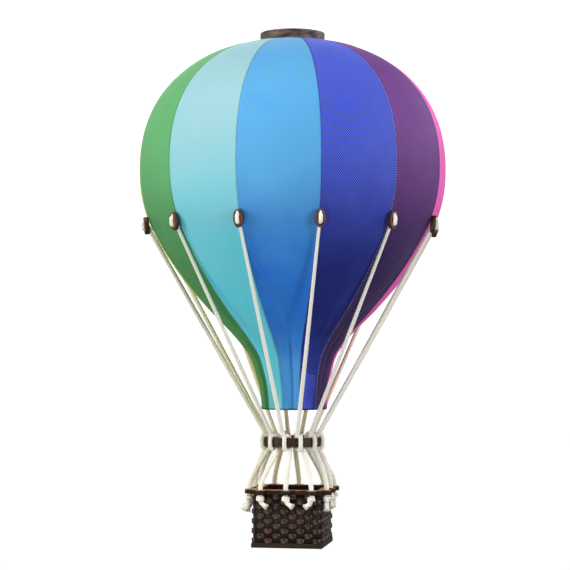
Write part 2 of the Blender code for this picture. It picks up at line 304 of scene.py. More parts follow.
def resampled(curve, count):
    return add(curve.tree, "ResampleCurve", {"Curve": curve, "Count": count}, mode="COUNT")


def upright(curve):
    return add(curve.tree, "SetCurveNormal", {"Curve": curve}, mode="Z_UP")


def moved(geometry, offset):
    return add(geometry.tree, "SetPosition", {"Geometry": geometry, "Offset": offset})


def roundedBox(tree, width, height, count, radius):
    box = add(tree, "CurvePrimitiveQuadrilateral", {"Width": width, "Height": height})
    return add(tree, "FilletCurve", {"Curve": box, "Count": count, "Radius": radius}, mode="POLY")


# Materials

def newMaterial(name, colour, roughness):
    material = bpy.data.materials.new(name)
    material.use_nodes = True
    material.diffuse_color = (*colour, 1.0)
    shade(material, {"Base Color": (*colour, 1.0), "Roughness": roughness})
    return material, material.node_tree


def shade(material, inputs):
    feed(material.node_tree.nodes["Principled BSDF"], inputs)
    return material


def darkened(colour, share):
    return tuple(value * share for value in colour)


def mixColour(factor, first, second, blend="MIX"):
    inputs = {0: factor}
    for key, colour in ((6, first), (7, second)):
        inputs[key] = colour if isinstance(colour, Output) else (*colour, 1)
    return add(treeOf(factor, first), "Mix", inputs, data_type="RGBA", blend_type=blend)[2]


def spread(value, fromLow, fromHigh, toLow=0.0, toHigh=1.0, curve="LINEAR"):
    limits = {"Value": value, "From Min": fromLow, "From Max": fromHigh, "To Min": toLow, "To Max": toHigh}
    return add(value.tree, "MapRange", limits, interpolation_type=curve)


def noiseAt(vector, scale, detail=3.0, roughness=0.55):
    inputs = {"Vector": vector, "Scale": scale, "Detail": detail, "Roughness": roughness}
    return add(vector.tree, "TexNoise", inputs)


def stretched(vector, scale, location=(0, 0, 0)):
    return add(vector.tree, "Mapping", {"Vector": vector, "Scale": scale, "Location": location})


def bumpFrom(height, strength, distance, before=None):
    inputs = {"Height": height, "Strength": strength, "Distance": distance}
    if before:
        inputs["Normal"] = before
    return add(height.tree, "Bump", inputs)


def painted(tree, name, kind="Fac"):  # what an attribute of the mesh says
    return add(tree, "Attribute", attribute_name=name)[kind]


twill = {
    "ridgePitch": 1.5 * mm,  # along a thread, from one diagonal ridge to the next
    "floatPitch": 1.5 * mm,
    "floatShare": 0.45,
    "ridgeHeight": 0.16 * mm,
    "puckerPitch": 1.5 * mm,  # from stitch to stitch along a seam
    "puckerReach": 0.8 * mm,
    "puckerHeight": 0.25 * mm,
    # Where the painted shade towards the neck is full, then where painted light returns on the neck
    "fadeEnd": -168 * mm,
    "neckStart": -188 * mm,
    "neckEnd": -222 * mm,
    "mottle": 0.12,
    "flapFade": -0.55,  # how much paler the cloth is below the neck's fold, as painted light
    "foldShade": 2.6,  # how dark the painted shadow along the fold's line is
    "crownShade": 0.13,
    "hemShade": 0.85,
    "hemLine": 0.0,  # the way down the cloth to the mouth's edge, measured when the first gore is made
}


def clothMaterial(name, crown, neck, gap, contrast, shadeTop, neckRelight):
    material, tree = newMaterial(name, crown, 0.62)
    cloth = add(tree, "UVMap", uv_map="clothMap")
    across, along, _ = split(cloth)
    away, down, _ = split(add(tree, "UVMap", uv_map="seamMap"))
    place = add(tree, "TexCoord")["Object"]
    height = split(place)[2]

    def ripple(value, pitch):
        return (value * (math.tau / pitch)).math("SINE")

    ridge = ripple(across * 1.12 + along * -0.9, twill["ridgePitch"])
    weave = ripple(across + along, twill["floatPitch"]) * twill["floatShare"] + ridge
    # The cloth puckers at each stitch of a seam
    pucker = spread(away, 0.0, twill["puckerReach"], 1.0, 0.0) * ripple(down, twill["puckerPitch"])
    # Painted light and shade: the cloth is palest at the crown, where the light falls, and deeper
    # above the neck, where it faces down; painted light pales it again on the neck.
    # It is a little uneven, and painted shade darkens it between the ridges
    shadeAndMottle = spread(height, shadeTop * mm, twill["fadeEnd"], curve="SMOOTHSTEP")
    shadeAndMottle -= spread(height, twill["neckStart"], twill["neckEnd"], 0.0, neckRelight, "SMOOTHSTEP")
    shadeAndMottle += spread(noiseAt(place, 38.0, 4.0), 0.3, 0.7, -twill["mottle"], twill["mottle"])
    flap = painted(tree, "flap")
    # Painted light: the cloth below the neck's fold is paler
    shadeAndMottle = flap * twill["flapFade"] + shadeAndMottle
    # Painted light and shade by height, mixed between the crown's and the neck's colours
    dyeAndShade = mixColour(shadeAndMottle, crown, neck)
    # Painted shade in the weave's gaps: darker between the ridges, less so near the crown
    dark = mixColour(1.0, dyeAndShade, (gap, gap, gap), "MULTIPLY")
    grooveShade = spread(weave, -0.6, 0.6, contrast, 0.0) * spread(height, -10 * mm, -48 * mm, 0.7, 1.0)
    dyeAndShade = mixColour(grooveShade, dyeAndShade, dark)
    # Painted shade: the cloth is a little darker again round the cap
    dyeAndShade = mixColour(spread(height, -50 * mm, -12 * mm, 0.0, twill["crownShade"]), dyeAndShade, (0, 0, 0))
    # Painted shadow along the neck's fold, and painted shade in the cloth's puckers at the stitches
    foldShadows = flap * (1.0 - flap) * twill["foldShade"] + spread(pucker, 0.1, 1.0, 0.0, 0.5)
    dyeAndShade = mixColour(foldShadows, dyeAndShade, darkened(neck, 0.3))
    # Painted shade along the hem at the mouth's edge
    hem = spread(down, twill["hemLine"] - 0.9 * mm, twill["hemLine"] - 0.1 * mm, toHigh=twill["hemShade"])
    dyeAndShade = mixColour(hem, dyeAndShade, darkened(neck, 0.2))
    normal = bumpFrom(noiseAt(cloth, 2600.0, 2.0) * 0.5 + weave, 0.35, twill["ridgeHeight"])
    return shade(material, {
        "Base Color": dyeAndShade, "Normal": bumpFrom(pucker, 0.5, twill["puckerHeight"], normal),
        "Sheen Weight": 0.08, "Sheen Roughness": 0.4, "Specular IOR Level": 0.3,
    })


# Stained woods: dark and light stain, worn edge, grain along the axes, roughness, shine, share of patches
# (a reddish stain and a dark patch of painted shade)
woods = {
    "capWood": ((.028, .017, .015), (.23, .165, .135), (.24, .12, .09), (55, 300, 620), 0.46, 0.3, 0.75),
    "ringWood": ((.018, .01, .006), (.085, .05, .03), (.32, .075, .045), (30, 500, 800), 0.4, 0.15, 0),
    "rimFace": ((.16, .06, .022), (.5, .19, .06), (.55, .24, .09), (60, 420, 420), 0.4, 0.3, 0),
    "rimEdge": ((.01, .006, .003), (.036, .019, .01), (.46, .17, .055), (50, 50, 900), 0.5, 0.15, 0),
    "floorFace": ((.04, .025, .02), (.1, .06, .045), (.22, .12, .07), (60, 420, 420), 0.45, 0.3, 0),
    "floorEdge": ((.01, .006, .003), (.032, .019, .01), (.05, .028, .017), (50, 50, 900), 0.5, 0.2, 0),
}
# The reddish patch is stain; the dark one is painted shade
stainAndShadePatches = {"reddish": (0.16, 0.058, 0.04), "dark": (0.022, 0.014, 0.013)}


def woodMaterial(name, bareFrom=None):
    # Its grain runs along X, bared where the attribute edgeWear says or above a height
    dark, light, worn, grain, gloss, shine, patched = woods[name]
    material, tree = newMaterial(name, dark, gloss)
    place = add(tree, "TexCoord")["Object"]
    fibres = stretched(place, grain)
    streaks, pores = noiseAt(fibres, 1.0, 6.0, 0.65), noiseAt(fibres, 4.5, 3.0, 0.7)
    stain = mixColour(spread(streaks, 0.36, 0.68), dark, light)
    stain = mixColour(spread(pores, 0.5, 0.72, 0.0, 0.6), stain, darkened(dark, 0.35))
    if patched:
        # Broad patches on the cap: a reddish stain, and a dark patch towards its right side that is painted
        # shade
        broad = noiseAt(stretched(place, (70, 70, 160), (-0.5, 0.1, 0.0)), 1.0, 2.0)
        stain = mixColour(spread(broad, 0.52, 0.66, 0.0, patched), stain, stainAndShadePatches["reddish"])
        stain = mixColour(spread(broad, 0.46, 0.36, 0.0, patched), stain, stainAndShadePatches["dark"])
    if bareFrom is None:
        wear = painted(tree, "edgeWear")
    else:
        wear = spread(split(place)[2], bareFrom - 0.1 * mm, bareFrom + 0.1 * mm)
    bare = wear * spread(noiseAt(place, 420.0), 0.38, 0.6, 0.15, 1.0)
    return shade(material, {
        "Base Color": mixColour(bare, stain, worn),
        "Roughness": spread(streaks, 0.3, 0.7, gloss - 0.08, gloss + 0.14),
        "Normal": bumpFrom(pores, 0.35, 0.12 * mm), "Specular IOR Level": shine,
    })


def cottonMaterial():
    # Fine fibres run along each strand: cordMap holds the way along it and the turn round it
    material, tree = newMaterial("cottonCord", (0.88, 0.85, 0.76), 0.85)
    fibres = noiseAt(painted(tree, "cordMap", "Vector"), 5.0, 4.0, 0.6)
    stain = noiseAt(add(tree, "TexCoord")["Object"], 90.0)
    colour = mixColour(spread(fibres, 0.3, 0.7, 0.0, 0.6), (0.93, 0.905, 0.825), (0.89, 0.86, 0.765))
    colour = mixColour(spread(stain, 0.5, 0.75, 0.0, 0.3), colour, (0.86, 0.81, 0.69))
    # Each cord's tone is multiplied in: painted shade on the left cords, painted bounce light on the rear
    # ones
    return shade(material, {
        "Base Color": mixColour(1.0, colour, painted(tree, "cordToneAndPaintedLight", "Color"), "MULTIPLY"),
        "Normal": bumpFrom(fibres, 0.4, 0.12 * mm),
        "Subsurface Weight": 0.1, "Subsurface Radius": (1.0, 0.9, 0.75), "Subsurface Scale": 0.5 * mm,
        "Sheen Weight": 0.1, "Sheen Roughness": 0.6, "Specular IOR Level": 0.15,
    })


# Envelope: twelve cloth gores

cloth = {
    "thickness": 0.5 * mm,
    "profileSteps": 240,  # of the fine profile, above the equator and again below it
    "rowStep": 1.7 * mm,
    "columns": [0, .012, .03, .055, .09, .14, .20, .28, .36, .44, .52, .60, .68, .76, .84, .92, 1.0],
    "puff": 0.5 * mm,  # the middle of a gore stands out between its seams
    "seamRidge": 0.35 * mm,
    "seamRidgeReach": 1.8 * mm,
    "seamGroove": 0.5 * mm,
    "seamGrooveReach": 0.4 * mm,
    "creaseDepth": 1.3 * mm,
    "creaseStart": 46 * mm,  # drop below the equator where the two creases of a gore begin
    "creaseMeet": 112 * mm,  # and where they meet in one
    "creaseBend": 1.8,
    "creaseSpread": 0.9,  # from a gore's middle to each crease's start, as a share of half its width
    "creaseDrift": 0.8,
    "creaseReach": 0.10,
    "creaseWidening": 0.11,
    "creaseFading": 0.45,
    "plane": 0.5 * mm,  # how proud the cloth between the two creases is
    "wrinkle": 0.35 * mm,
    "calmReach": 3 * mm,  # near a seam there are no wrinkles
    "seedStep": 9.1,
    "hem": 3.2 * mm,
    "hemTurn": 0.55 * mm,
    "hemBends": 6,
    "mouthShift": 1.2 * mm,  # the soft mouth hangs a little to one side
}
hemRows = cloth["hemBends"] + 2

# Name, colour at the crown, colour at the neck (paler at the crown and deeper at the neck as painted
# light and shade), share of light in the weave's gaps, contrast of the weave's painted shade, height in mm
# where the painted shade towards the neck starts, painted light returning below the neck, drift of the lower
# crease, depth of the creases
goreStyles = [
    ("green", (0.122, 0.448, 0.158), (0.069, 0.285, 0.082), 0.45, 0.35, -65, 0.10, 0.55, 2.2),
    ("aqua", (0.350, 0.635, 0.688), (0.130, 0.726, 0.855), 0.55, 0.50, -48, 0.15, -0.1, 0.45),
    ("sky", (0.106, 0.462, 0.860), (0.022, 0.226, 0.815), 0.42, 0.62, -88, 0.70, 0.12, 1.3),
    ("royal", (0.090, 0.154, 1.000), (0.0115, 0.028, 0.345), 0.08, 1.00, -78, 0.42, 0.5, 0.30),
    ("purple", (0.176, 0.038, 0.280), (0.032, 0.011, 0.094), 0.40, 0.62, -55, 0.00, -0.3, 0.45),
    ("pink", (0.970, 0.140, 0.590), (0.950, 0.130, 0.520), 0.50, 0.30, -55, 0.00, 0.2, 0.6),
    ("crimson", (0.680, 0.040, 0.130), (0.620, 0.030, 0.110), 0.45, 0.45, -55, 0.20, -0.35, 0.9),
    ("red", (0.800, 0.080, 0.050), (0.760, 0.060, 0.035), 0.45, 0.45, -55, 0.20, 0.3, 0.5),
    ("orange", (0.920, 0.270, 0.045), (0.900, 0.230, 0.030), 0.50, 0.40, -55, 0.20, -0.15, 1.0),
    ("amber", (0.930, 0.490, 0.050), (0.920, 0.440, 0.035), 0.50, 0.40, -55, 0.20, 0.4, 0.5),
    ("yellow", (0.930, 0.780, 0.100), (0.930, 0.740, 0.065), 0.55, 0.35, -55, 0.20, -0.45, 0.9),
    ("lime", (0.480, 0.710, 0.110), (0.430, 0.680, 0.080), 0.50, 0.40, -55, 0.20, 0.1, 0.6),
]

# A fold across a gore where it turns into the neck, falling towards its right and fading out there
neckFold = {
    "gore": "royal",
    "drop": 129.5 * mm,
    "depth": 1.0 * mm,
    "falls": 2.0 * mm,
    "fadeStart": 0.5,
    "fadeEnd": 1.1,
}


def smoothRadius(drop):
    slopes = [0.0]
    for (d0, r0), (d1, r1), (d2, r2) in zip(bodyStations, bodyStations[1:], bodyStations[2:]):
        share = (d1 - d0) / (d2 - d0)
        slopes.append((r1 - r0) / (d1 - d0) * (1 - share) + (r2 - r1) / (d2 - d1) * share)
    slopes.append(0.0)
    last = len(bodyStations) - 2
    i = max(k for k in range(last + 1) if bodyStations[k][0] <= drop + 1e-9)
    (d0, r0), (d1, r1) = bodyStations[i], bodyStations[i + 1]
    length = d1 - d0
    return hermite((drop - d0) / length, r0, length * slopes[i], r1, length * slopes[i + 1])


def envelopeRadius(z):
    rise = z - balloon["equatorZ"]
    if rise <= 0:
        return smoothRadius(min(-rise, bodyStations[-1][0]))
    fullness = balloon["crownFullness"]
    share = min(rise / balloon["crownHeight"], 1.0)
    return balloon["equatorRadius"] * (1 - share**fullness) ** (1 / fullness)


def envelopeProfile():  # (radius, z) from the crown hole to the mouth, finely
    top = -balloon["capThickness"] - balloon["gap"]
    equator, fullness, steps = balloon["equatorZ"], balloon["crownFullness"], cloth["profileSteps"]
    steepest = math.asin(((top - equator) / balloon["crownHeight"]) ** (fullness / 2))
    profile = [Vector((balloon["crownHole"], top))]
    for k in range(steps + 1):
        turn = steepest * (1 - k / steps)
        radius = balloon["equatorRadius"] * math.cos(turn) ** (2 / fullness)
        profile.append(Vector((radius, equator + balloon["crownHeight"] * math.sin(turn) ** (2 / fullness))))
    for k in range(1, steps + 1):
        drop = bodyStations[-1][0] * k / steps
        profile.append(Vector((smoothRadius(drop), equator - drop)))
    return profile


def evenly(points, step):  # the same line with its points about a step apart
    lengths = [0.0]
    for a, b in zip(points, points[1:]):
        lengths.append(lengths[-1] + (b - a).length)
    count = max(2, round(lengths[-1] / step)) + 1
    spaced, i = [], 0
    for k in range(count):
        target = lengths[-1] * k / (count - 1)
        while i < len(points) - 2 and lengths[i + 1] < target:
            i += 1
        share = (target - lengths[i]) / max(lengths[i + 1] - lengths[i], 1e-12)
        spaced.append(points[i].lerp(points[i + 1], min(share, 1.0)))
    return spaced


def clothProfile():  # the profile, then the hem turned in and up inside the mouth
    line = evenly(envelopeProfile(), cloth["rowStep"])
    mouth, turn = line[-1], cloth["hemTurn"]
    for k in range(1, cloth["hemBends"] + 1):
        bend = math.pi * k / cloth["hemBends"]
        line.append(mouth + Vector((-turn * (1 - math.cos(bend)), -turn * math.sin(bend))))
    return line + [mouth + Vector((-2 * turn, share * cloth["hem"])) for share in (0.5, 1)]


def mouthLean(drop):
    return cloth["mouthShift"] * smoothStep(100 * mm, 150 * mm, drop)


def pastFold(share, drop):  # how far below the neck fold, and how strong the fold is there
    below = drop - neckFold["drop"] - neckFold["falls"] * share
    return below, 1 - smoothStep(neckFold["fadeStart"], neckFold["fadeEnd"], share)


def goreOffset(share, away, drop, style, seed):
    # How far the cloth stands out from the plain profile; share runs from -1 to 1 between the seams
    name, drift, depth = style[0], style[7], style[8]
    puff = cloth["puff"] * (1 - share * share) * (1 - smoothStep(70 * mm, 110 * mm, drop))
    ridge = cloth["seamRidge"] * math.exp(-(away / cloth["seamRidgeReach"]) ** 2)
    groove = cloth["seamGroove"] * math.exp(-(away / cloth["seamGrooveReach"]) ** 2)
    # Two creases run in from the seams and meet in one, which runs on down the neck
    run = shareOf(cloth["creaseStart"], cloth["creaseMeet"], drop)
    bent = run ** cloth["creaseBend"]
    middle, spreading = drift * cloth["creaseDrift"] * bent, cloth["creaseSpread"] * (1 - bent)
    reach = cloth["creaseReach"] + cloth["creaseWidening"] * run
    grown = smoothStep(cloth["creaseStart"] - 10 * mm, cloth["creaseStart"] + 30 * mm, drop)
    crease = sum(math.exp(-((share - middle - side * spreading) / reach) ** 2) for side in (-1, 1))
    crease *= depth * cloth["creaseDepth"] * grown * (1 - cloth["creaseFading"] * run)
    # The cloth between the two creases lies flat, a little proud of its sides
    inside = smoothStep(-0.12, 0.12, spreading - abs(share - middle)) * grown * (1 - run)
    plane = cloth["plane"] * depth * inside
    fold = 0.0
    if name == neckFold["gore"]:
        below, side = pastFold(share, drop)
        fold = neckFold["depth"] * side * (
            smoothStep(-1.2 * mm, 1.6 * mm, below) * (1 - smoothStep(4 * mm, 20 * mm, below))
            - 0.8 * math.exp(-((below + 2.2 * mm) / (1.6 * mm)) ** 2)
        )
    lower = smoothStep(20 * mm, 100 * mm, drop)
    wave = noise.noise((share * 2.6, drop * 22, seed)) * (lower + 0.25 * (1 - lower))
    wave += 0.5 * noise.noise((share * 6.0, drop * 34, seed + 5)) * lower
    calm = min(away / cloth["calmReach"], 1.0)
    return puff + ridge - groove - crease + plane + fold + cloth["wrinkle"] * wave * calm


def goreMesh(name, index, style):
    line = clothProfile()
    shares = [-1 + e for e in cloth["columns"]] + [1 - e for e in reversed(cloth["columns"][:-1])]
    halfTurn = 180 / balloon["gores"]
    points, clothMap, seamMap, flap = [], [], [], []
    travelled = 0.0
    mouthRow = len(line) - 1 - hemRows
    for row, place in enumerate(line):
        before, after = line[max(row - 1, 0)], line[min(row + 1, len(line) - 1)]
        travelled += (place - before).length
        slope = (after - before).normalized()
        outward = Vector((-slope.y, slope.x)) if row <= mouthRow else Vector((1, 0))
        visible = line[min(row, mouthRow)]
        drop, width = balloon["equatorZ"] - visible.y, math.radians(halfTurn) * visible.x
        for share in shares:
            away = (1 - abs(share)) * width
            spot = place + outward * goreOffset(share, away, drop, style, index * cloth["seedStep"])
            point = around(seamAngle(index + 0.5) + share * halfTurn, spot.x, spot.y)
            point.x += mouthLean(drop)
            points.append(point)
            below, side = pastFold(share, drop)
            folded = side if style[0] == neckFold["gore"] else 0.0
            flap.append(folded * smoothStep(-0.3 * mm, 0.9 * mm, below))
            clothMap.append((share * width, travelled))
            seamMap.append((away, travelled))
    across = len(shares)
    corners = [row * across + k for row in range(len(line) - 1) for k in range(across - 1)]
    mesh = meshFrom(name, points, [(a, a + across, a + across + 1, a + 1) for a in corners])
    store(mesh, "flap", flap)
    for layerName, values in (("clothMap", clothMap), ("seamMap", seamMap)):
        layer = mesh.uv_layers.new(name=layerName)
        for loop in mesh.loops:
            layer.data[loop.index].uv = values[loop.vertex_index]
    mesh.shade_smooth()
    return mesh, travelled


def makeGores():
    twill["hemLine"] = lengthOf(clothProfile()[:-hemRows])
    width = math.tau * balloon["equatorRadius"] / balloon["gores"]
    for index, style in enumerate(goreStyles):
        node = f"gore_{style[0]}"
        material = clothMaterial(f"cloth_{style[0]}", *style[1:7])
        mesh, length = goreMesh(f"cloth_{style[0]}", index, style)
        gore = newObject(mesh, material)
        wall = gore.modifiers.new("cloth", "SOLIDIFY")
        wall.thickness = cloth["thickness"]
        wall.offset = -1
        finishPiece(gore, node, node)
        flatArea()
    print(f"Twelve gores: each {width / mm:.1f} by {length / mm:.1f} mm flat, {flatArea() / mm**2:.0f} mm2")


def flatArea():  # one gore's cut: its width at each height times the way down
    line = clothProfile()
    share = math.tau / balloon["gores"]
    return sum((a.x + b.x) / 2 * share * (b - a).length for a, b in zip(line, line[1:]))


# Seam stitches, grown along each seam

stitches = {
    "Spacing": 1.5 * mm,
    "Length": 0.9 * mm,
    "Thread Radius": 0.24 * mm,
}
stitchesFrom = 18 * mm  # radius: the stitches under the cap don't show
stitchSink = 0.05 * mm

# Thread of each seam, from the first, left of the green gore
threadColours = [
    (0.42, 0.55, 0.20), (0.04, 0.22, 0.08), (0.16, 0.52, 0.74), (0.035, 0.06, 0.30),
    (0.74, 0.70, 0.90), (0.62, 0.24, 0.48), (0.70, 0.16, 0.30), (0.66, 0.10, 0.08),
    (0.74, 0.20, 0.06), (0.80, 0.36, 0.08), (0.82, 0.58, 0.10), (0.66, 0.66, 0.12),
]


def threadMaterial():
    material, tree = newMaterial("seamThread", (0.6, 0.6, 0.6), 0.55)
    twist = noiseAt(add(tree, "TexCoord")["Object"], 3000.0, 2.0)
    colour = painted(tree, "threadColour", "Color")
    return shade(material, {
        "Base Color": mixColour(spread(twist, 0.3, 0.7, 0.0, 0.4), colour, (0.1, 0.1, 0.12)),
        "Normal": bumpFrom(twist, 0.5, 0.05 * mm),
    })


def stitchTree(material):
    tree, given = newTree("seamStitches", {**stitches, "Thread": material})
    curve = upright(add(tree, "MeshToCurve", {"Mesh": given["Geometry"]}))
    points = add(tree, "CurveToPoints", {"Curve": curve, "Length": given["Spacing"]}, mode="LENGTH")
    ball = add(tree, "MeshUVSphere", {"Segments": 6, "Rings": 4, "Radius": 1.0})
    size = combine(given["Length"] * 0.5, given["Thread Radius"], given["Thread Radius"])
    stitch = add(tree, "Transform", {"Geometry": ball, "Scale": size})
    return endTree(instances(points, stitch, Rotation=points["Rotation"]), given["Thread"])


def makeStitches():
    material = threadMaterial()
    tree = stitchTree(material)
    equator = balloon["equatorZ"]
    shown = [place for place in clothProfile()[:-hemRows] if place.x >= stitchesFrom or place.y <= equator]
    for index, colour in enumerate(threadColours):
        points = [around(seamAngle(index), place.x - stitchSink, place.y) for place in shown]
        for point in points:
            point.x += mouthLean(equator - point.z)
        line = lineMesh(f"seam_stitches_{index + 1:02d}", points)
        seam = grow(line, tree, {**stitches, "Thread": material})
        tint(seam.data, "threadColour", colour)
        finishPiece(seam, f"gore_{goreStyles[index][0]}")
    print("Seams stitched")


# Turned wooden pieces: cap and ring

turned = {
    "steps": 96,
    "capRadius": 20.8 * mm,
    "capEdge": 0.405 * mm,
    "capWear": 0.5,
    "threadHole": 1.2 * mm,
    "ringEdge": 0.7 * mm,
    "ringWear": 0.55,
    "cornerWear": (0.0, 0.6, 1.0, 0.6, 0.0),
    "sharpFrom": 38,
}


def turnedPiece(material, name, wear, inner, outer, low, high, edge):
    # A section with rounded corners, turned about the Z axis
    right, left, up, down = Vector((1, 0)), Vector((-1, 0)), Vector((0, 1)), Vector((0, -1))
    section, steps = [], turned["steps"]
    for r, z, first, second in (
        (outer, high, left, down), (outer, low, up, left), (inner, low, right, up), (inner, high, down, right)
    ):
        corner = Vector((r, z))
        centre = corner + (first + second) * edge
        for k in range(len(turned["cornerWear"])):
            turn = math.pi / 2 * k / (len(turned["cornerWear"]) - 1)
            start, end = corner + first * edge - centre, corner + second * edge - centre
            section.append(centre + start * math.cos(turn) + end * math.sin(turn))
    rings = [[around(360 * k / steps, r, z) for r, z in section] for k in range(steps)]
    mesh = loft(name, rings, closed=True)
    store(mesh, "edgeWear", [worn * wear for worn in turned["cornerWear"]] * (4 * steps))
    outwardNormals(mesh)
    smoothShade(mesh, turned["sharpFrom"])
    return newObject(mesh, material)


def makeCap():
    cap = turnedPiece(
        woodMaterial("capWood"), "wooden_cap", turned["capWear"], turned["threadHole"], turned["capRadius"],
        -balloon["capThickness"], 0.0, turned["capEdge"],
    )
    finishPiece(cap, "cap_wood", "cap")
    print("Cap turned")


def makeRing():
    half, outer = balloon["ringHeight"] / 2, balloon["ringRadius"]
    ring = turnedPiece(
        woodMaterial("ringWood"), "wooden_ring", turned["ringWear"], outer - balloon["ringWidth"], outer,
        balloon["ringZ"] - half, balloon["ringZ"] + half, turned["ringEdge"],
    )
    finishPiece(ring, "ring_wood", "ring")
    print("Ring turned")


# Buttons

buttonSizes = {
    "width": 6.4 * mm,
    "length": 11.2 * mm,
    "thickness": 3.3 * mm,
    "z": -125.0 * mm,  # of a button's middle
    "tilt": math.radians(6.0),
    "holeRadius": 1.35 * mm,
    "holeOffset": 2.5 * mm,
    "holeFlare": 0.25 * mm,
    "dish": 0.7 * mm,  # depth of the face inside its rim
    "points": 56,
    "holePoints": 24,
    "sharpFrom": 50,
    "grainShift": 0.05,  # each button has its own grain
}

# Across the button's edge, in millimetres: inset from its outline, height above the back; then the wear
buttonSection = [
    (0.45, 0.0, 0.0), (0.10, 0.25, 0.0), (0.0, 0.7, 0.0), (0.0, 2.2, 0.0), (0.08, 2.65, 0.0),
    (0.30, 3.05, 0.45), (0.68, 3.3, 1.0), (1.05, 3.22, 0.9), (1.38, 2.95, 0.75), (1.65, 2.68, 0.6),
    (2.00, 2.6, 0.5),
]


def buttonMaterial():
    material, tree = newMaterial("buttonWood", (0.10, 0.045, 0.03), 0.4)
    local = painted(tree, "buttonMap", "Vector")
    streaks = noiseAt(stretched(local, (700, 700, 90)), 1.0, 5.0, 0.65)
    stain = mixColour(spread(streaks, 0.35, 0.7), (0.022, 0.009, 0.006), (0.085, 0.032, 0.018))
    bare = painted(tree, "edgeWear") * spread(noiseAt(local, 500.0), 0.35, 0.6, 0.35, 1.0)
    return shade(material, {
        "Base Color": mixColour(bare, stain, (0.27, 0.075, 0.032)),
        "Normal": bumpFrom(streaks, 0.3, 0.1 * mm), "Specular IOR Level": 0.3,
        "Coat Weight": 0.08, "Coat Roughness": 0.25,
    })


def ovalRing(halfWidth, halfLength, height, count, middle=0.0):
    turns = [math.tau * k / count for k in range(count)]
    return [(halfWidth * math.sin(t), -height, middle + halfLength * math.cos(t)) for t in turns]


def buttonBlank():
    # An oval block with a raised rim round a dished face, its back at y = 0 and its face towards -Y
    width, length, count = buttonSizes["width"] / 2, buttonSizes["length"] / 2, buttonSizes["points"]
    rings = [ovalRing(width - i * mm, length - i * mm, height * mm, count) for i, height, _ in buttonSection]
    mesh = loft("button_blank", rings)
    store(mesh, "edgeWear", [worn for _, _, worn in buttonSection for _ in range(count)])
    return mesh


def holeCutter(side):
    # A drill that flares at both faces of the button, so the hole's edges are rounded
    radius, flare = buttonSizes["holeRadius"], buttonSizes["holeFlare"]
    face = buttonSizes["thickness"] - buttonSizes["dish"]
    section = [
        (radius + 3 * flare, -1.0 * mm), (radius + flare, -0.05 * mm), (radius, flare),
        (radius, face - flare), (radius + flare, face + 0.02 * mm), (radius + 3 * flare, face + 1.5 * mm),
    ]
    count, middle = buttonSizes["holePoints"], side * buttonSizes["holeOffset"]
    return loft("hole_cutter", [ovalRing(r, r, height, count, middle) for r, height in section])


def drilledButton():
    meshes = [buttonBlank(), holeCutter(-1), holeCutter(1)]
    for mesh in meshes:
        outwardNormals(mesh)
    blank, *cutters = [newObject(mesh) for mesh in meshes]
    for cutter in cutters:
        cut = blank.modifiers.new("hole", "BOOLEAN")
        cut.operation = "DIFFERENCE"
        cut.object = cutter
    finished = evaluated(blank)
    for used in [blank, *cutters]:
        bpy.data.objects.remove(used, do_unlink=True)
    return finished


def buttonMiddle():  # (radius, z) of a button's back, as its solid has it
    half, tilt, z = buttonSizes["length"] / 2, buttonSizes["tilt"], buttonSizes["z"]
    outward = Vector((math.cos(tilt), -math.sin(tilt)))
    downward = Vector((-math.sin(tilt), -math.cos(tilt)))
    touching = envelopeRadius(z + half) + balloon["gap"]
    middle = Vector((touching, z)) + downward * half
    return Vector((middle.x, z)), outward, downward


def makeButtons():
    material = buttonMaterial()
    shape = drilledButton()
    local = [v.co.copy() for v in shape.vertices]
    middle = buttonMiddle()[0]
    for index in range(balloon["gores"]):
        angle = seamAngle(index)
        place = Matrix.Translation(around(angle, middle.x, middle.y))
        place = place @ Matrix.Rotation(math.radians(angle), 4, "Z")
        place = place @ Matrix.Rotation(buttonSizes["tilt"], 4, "X")
        mesh = shape.copy()
        mesh.name = f"oval_button_{index + 1:02d}"
        shift = Vector((buttonSizes["grainShift"] * index, 0, 0))
        store(mesh, "buttonMap", [x for point in local for x in point + shift], "FLOAT_VECTOR")
        mesh.transform(place)
        smoothShade(mesh, buttonSizes["sharpFrom"])
        finishPiece(newObject(mesh, material), "button_wood", f"button_{index + 1:02d}")
    print("Buttons placed")


# Cords: three strands twisted together, grown along each route

cordSizes = {
    "squeezed": 0.8,  # thickness where a cord leaves a button at its back
    "ringTurn": 5.0,  # degrees that a cord turns between its button and the ring
    "wrapStep": 1.7 * mm,
    "ringCorner": 1.25 * mm,
    "loop": 1.06,  # over the button's face
    "loopOut": 0.75 * mm,
    "loopDown": 1.3 * mm,
    "aboveRing": 1.2,
    "wrap": 1.14,
    "lower": 1.32,
    "holeReach": 25.0 * mm,
    "holeSpacing": 16.5 * mm,
    "knotThickness": 0.93,
    "knotRadius": 1.5 * mm,
    "knotTurns": 1.45,
    "knotPoints": 14,
    "knotCore": 0.5 * mm,
    "tailStart": 3.9 * mm,
    "routeStep": 0.6 * mm,
}

strands = {
    "Step": 0.6 * mm,
    "Pitch": 7.5 * mm,
    "Strand Radius": 0.96 * mm,
    "Strand Offset": 0.29 * mm,
    "Section Points": 8,
}
strandCount = 3
fibreMap = {"along": 160.0, "round": 1400.0, "shift": 7.3}  # scales of the cotton's pattern

